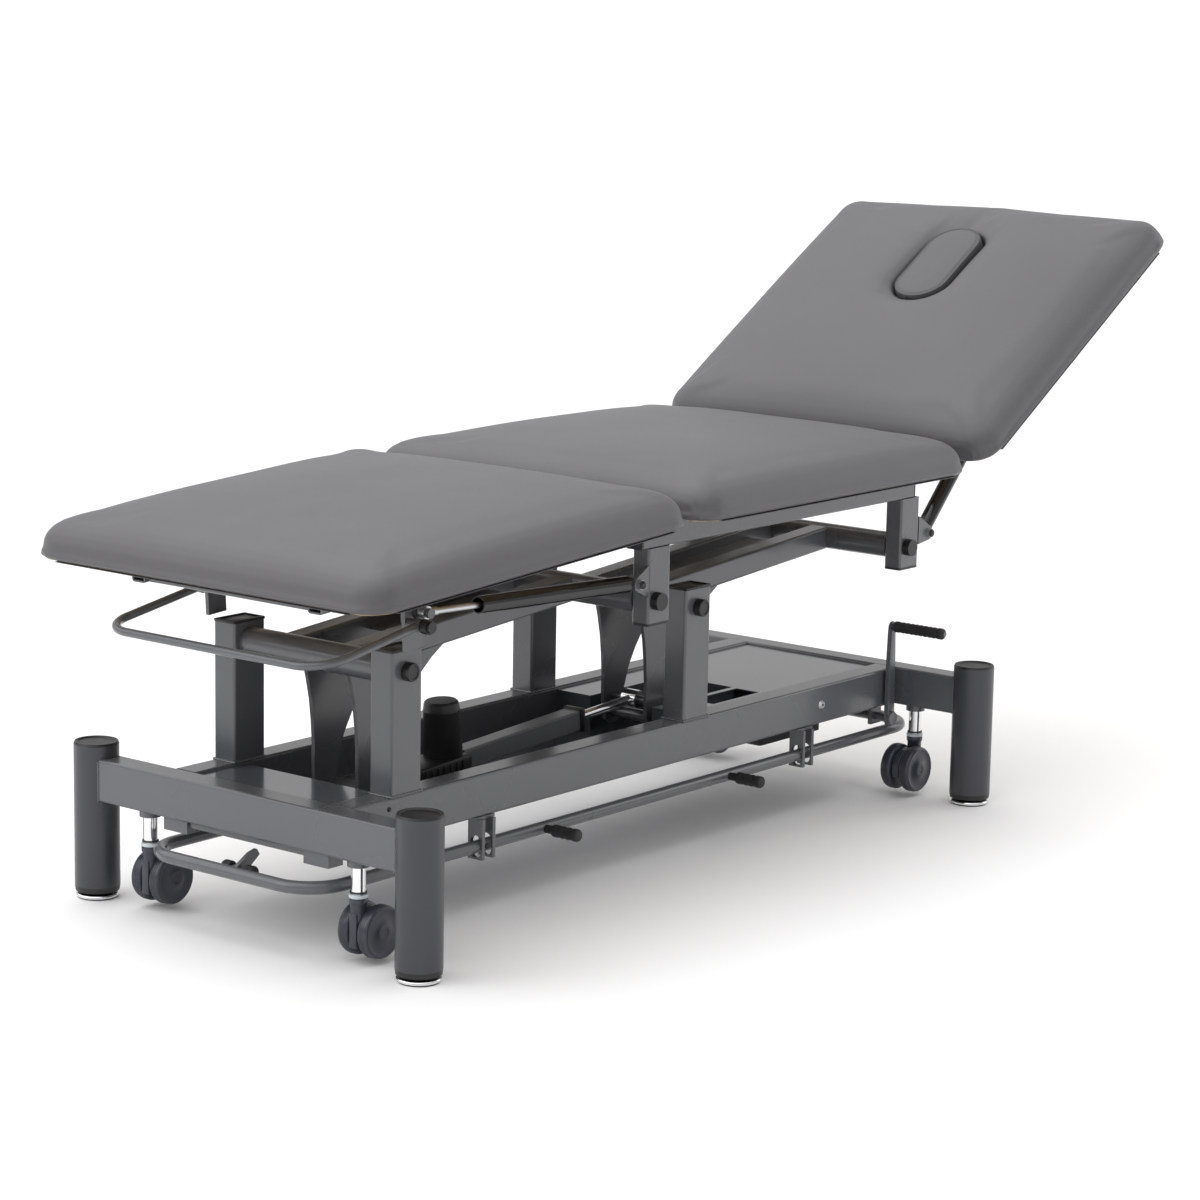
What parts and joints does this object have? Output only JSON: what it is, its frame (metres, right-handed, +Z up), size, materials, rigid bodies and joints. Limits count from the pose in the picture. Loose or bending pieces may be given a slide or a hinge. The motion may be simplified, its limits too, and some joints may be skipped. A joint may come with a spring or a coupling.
{
  "type": "examination couch",
  "caption": "Three-section height-adjustable treatment couch with a tilting head section, face opening, foot bar and retractable casters.",
  "frame": {"origin": "middle of the couch's outer box, on the floor", "axes": "+X along the couch towards the head end, +Y across it, +Z up"},
  "size_m": [1.9446, 0.6674, 0.9082],
  "materials": {
    "frame_paint": "semi-gloss dark grey powder coat",
    "leg_paint": "satin charcoal powder coat",
    "tray_paint": "semi-gloss grey powder coat on folded sheet",
    "actuator_grey": "satin grey",
    "black_plastic": "fine satin",
    "caster_plastic": "satin moulded",
    "chrome": "bright",
    "steel": "zinc plated",
    "spring_black": "gloss black lacquer",
    "brass": "machined",
    "plywood": "birch plywood",
    "vinyl": "fine-grain upholstery vinyl"
  },
  "bodies": {
    "base": {"side_rails": "frame_paint", "cross_rails": "frame_paint", "legs": "leg_paint", "leg_plugs": "black_plastic", "posts": "frame_paint", "post_caps": "black_plastic", "foot_tray": "tray_paint", "well_pan": "tray_paint", "head_tray": "tray_paint", "control_box": "black_plastic", "base_brackets": "frame_paint", "base_fasteners": "steel"},
    "foot_lift_arm": {"foot_arm": "frame_paint", "foot_levers": "frame_paint"},
    "head_lift_arm": {"head_arm": "frame_paint", "head_levers": "frame_paint"},
    "actuator_body": {"actuator_housing": "black_plastic", "actuator_tube": "actuator_grey"},
    "actuator_ram": {"actuator_rod": "chrome"},
    "top_frame": {"seat_frame": "frame_paint", "drop_brackets": "frame_paint", "frame_caps": "black_plastic", "upper_pins": "steel", "hinge_pins": "steel", "seat_board": "plywood", "seat_cushion": "vinyl"},
    "head_section": {"head_frame": "frame_paint", "head_board": "plywood", "head_cushion": "vinyl"},
    "face_plug_body": {"face_plug": "vinyl"},
    "head_cylinders": {"head_spring_cylinders": "spring_black"},
    "head_rods": {"head_spring_rods": "steel"},
    "leg_section": {"leg_frame": "frame_paint", "link_plates": "frame_paint", "release_valve": "brass", "leg_board": "plywood", "leg_cushion": "vinyl"},
    "leg_cylinders": {"leg_spring_cylinders": "spring_black"},
    "leg_rods": {"leg_spring_rods": "steel"},
    "bail": {"release_bail": "frame_paint", "bail_knobs": "black_plastic"},
    "stems": {"caster_stems": "chrome"},
    "crank": {"crank_lever": "frame_paint"},
    "grip": {"crank_grip": "black_plastic"},
    "foot_bar_body": {"foot_bar": "frame_paint", "foot_pegs": "black_plastic"},
    "foot_fn": {"levelling_foot_fn": "chrome"},
    "fork_fn": {"caster_fork_fn": "caster_plastic"},
    "wheels_fn": {"caster_wheels_fn": "caster_plastic"},
    "foot_ff": {"levelling_foot_ff": "chrome"},
    "fork_ff": {"caster_fork_ff": "caster_plastic"},
    "wheels_ff": {"caster_wheels_ff": "caster_plastic"},
    "foot_hn": {"levelling_foot_hn": "chrome"},
    "fork_hn": {"caster_fork_hn": "caster_plastic"},
    "wheels_hn": {"caster_wheels_hn": "caster_plastic"},
    "foot_hf": {"levelling_foot_hf": "chrome"},
    "fork_hf": {"caster_fork_hf": "caster_plastic"},
    "wheels_hf": {"caster_wheels_hf": "caster_plastic"}
  },
  "joints": [
    {"name": "lift", "type": "hinge", "parent": "base", "child": "foot_lift_arm", "pos_m": [-0.7371, 0, 0.3704], "axis": [0, -1, 0], "range_deg": [-3, 38]},
    {"name": "head_arm_turn", "type": "hinge", "parent": "base", "child": "head_lift_arm", "pos_m": [-0.1021, 0, 0.3704], "axis": [0, -1, 0], "range_deg": [-3.5, 38.5]},
    {"name": "top_level", "type": "hinge", "parent": "foot_lift_arm", "child": "top_frame", "pos_m": [-0.26356, 0, 0.40767], "axis": [0, -1, 0], "range_deg": [-38.5, 3.5]},
    {"name": "actuator_turn", "type": "hinge", "parent": "base", "child": "actuator_body", "pos_m": [-0.5821, 0, 0.165], "axis": [0, -1, 0], "range_deg": [-0.94, 6.12]},
    {"name": "ram_turn", "type": "hinge", "parent": "head_lift_arm", "child": "actuator_ram", "pos_m": [-0.0421, 0, 0.1994], "axis": [0, -1, 0], "range_deg": [-32.88, 3.06]},
    {"name": "backrest", "type": "hinge", "parent": "top_frame", "child": "head_section", "pos_m": [0.4249, 0, 0.528], "axis": [0, -1, 0], "range_deg": [-31.4, 27.5]},
    {"name": "head_cylinder_turn", "type": "hinge", "parent": "top_frame", "child": "head_cylinders", "pos_m": [0.4329, 0, 0.423], "axis": [0, -1, 0], "range_deg": [-23.42, 20.57]},
    {"name": "head_rod_turn", "type": "hinge", "parent": "head_section", "child": "head_rods", "pos_m": [0.61124, 0, 0.60659], "axis": [0, -1, 0], "range_deg": [-7.93, 8.98]},
    {"name": "legrest", "type": "hinge", "parent": "top_frame", "child": "leg_section", "pos_m": [-0.3031, 0, 0.528], "axis": [0, 1, 0], "range_deg": [-3, 24]},
    {"name": "leg_cylinder_turn", "type": "hinge", "parent": "top_frame", "child": "leg_cylinders", "pos_m": [-0.3011, 0, 0.436], "axis": [0, 1, 0], "range_deg": [-3.26, 22.58]},
    {"name": "leg_rod_turn", "type": "hinge", "parent": "leg_section", "child": "leg_rods", "pos_m": [-0.73934, 0, 0.45446], "axis": [0, 1, 0], "range_deg": [-2.42, 0.74]},
    {"name": "release", "type": "hinge", "parent": "leg_section", "child": "bail", "pos_m": [-0.7561, 0, 0.44], "axis": [0, 1, 0], "range_deg": [0, 10], "stiffness_Nm_per_rad": 6, "springref_deg": -34.38},
    {"name": "plug_lift", "type": "slide", "parent": "head_section", "child": "face_plug_body", "axis": [-0.521, 0, 0.8536], "range_m": [0, 0.09]},
    {"name": "caster_crank", "type": "hinge", "parent": "base", "child": "crank", "pos_m": [0.3969, 0, 0.124], "axis": [0, -1, 0], "range_deg": [0, 85]},
    {"name": "caster_drop", "type": "slide", "parent": "base", "child": "stems", "axis": [0, 0, -1], "range_m": [0, 0.03]},
    {"name": "grip_spin", "type": "hinge", "parent": "crank", "child": "grip", "pos_m": [0.3969, 0, 0.273], "axis": [0, 1, 0], "continuous": true},
    {"name": "foot_bar_press", "type": "slide", "parent": "base", "child": "foot_bar_body", "axis": [0, 0, 1], "range_m": [-0.006, 0.006], "stiffness_N_per_m": 20000, "springref_m": 0.0036},
    {"name": "level_foot_near", "type": "slide", "parent": "base", "child": "foot_fn", "axis": [0, 0, -1], "range_m": [0, 0.012]},
    {"name": "swivel_foot_near", "type": "hinge", "parent": "stems", "child": "fork_fn", "pos_m": [-0.8611, -0.195, 0.08], "axis": [0, 0, 1], "continuous": true},
    {"name": "roll_foot_near", "type": "hinge", "parent": "fork_fn", "child": "wheels_fn", "pos_m": [-0.8391, -0.195, 0.044], "axis": [0, 1, 0], "continuous": true},
    {"name": "level_foot_far", "type": "slide", "parent": "base", "child": "foot_ff", "axis": [0, 0, -1], "range_m": [0, 0.012]},
    {"name": "swivel_foot_far", "type": "hinge", "parent": "stems", "child": "fork_ff", "pos_m": [-0.8611, 0.195, 0.08], "axis": [0, 0, 1], "continuous": true},
    {"name": "roll_foot_far", "type": "hinge", "parent": "fork_ff", "child": "wheels_ff", "pos_m": [-0.8391, 0.195, 0.044], "axis": [0, 1, 0], "continuous": true},
    {"name": "level_head_near", "type": "slide", "parent": "base", "child": "foot_hn", "axis": [0, 0, -1], "range_m": [0, 0.012]},
    {"name": "swivel_head_near", "type": "hinge", "parent": "stems", "child": "fork_hn", "pos_m": [0.4389, -0.195, 0.08], "axis": [0, 0, 1], "continuous": true},
    {"name": "roll_head_near", "type": "hinge", "parent": "fork_hn", "child": "wheels_hn", "pos_m": [0.4169, -0.195, 0.044], "axis": [0, 1, 0], "continuous": true},
    {"name": "level_head_far", "type": "slide", "parent": "base", "child": "foot_hf", "axis": [0, 0, -1], "range_m": [0, 0.012]},
    {"name": "swivel_head_far", "type": "hinge", "parent": "stems", "child": "fork_hf", "pos_m": [0.4389, 0.195, 0.08], "axis": [0, 0, 1], "continuous": true},
    {"name": "roll_head_far", "type": "hinge", "parent": "fork_hf", "child": "wheels_hf", "pos_m": [0.4169, 0.195, 0.044], "axis": [0, 1, 0], "continuous": true}
  ],
  "couplings": [
    {"joint": "head_arm_turn", "follows": "lift", "ratio": 1},
    {"joint": "top_level", "follows": "lift", "ratio": -1},
    {"joint": "actuator_turn", "follows": "lift", "ratio": 0.148},
    {"joint": "ram_turn", "follows": "lift", "ratio": -0.852},
    {"joint": "head_cylinder_turn", "follows": "backrest", "ratio": 0.73},
    {"joint": "head_rod_turn", "follows": "backrest", "ratio": -0.27},
    {"joint": "leg_cylinder_turn", "follows": "legrest", "ratio": 0.92},
    {"joint": "leg_rod_turn", "follows": "legrest", "ratio": -0.08},
    {"joint": "caster_drop", "follows": "caster_crank", "m_per_rad": 0.01887}
  ]
}
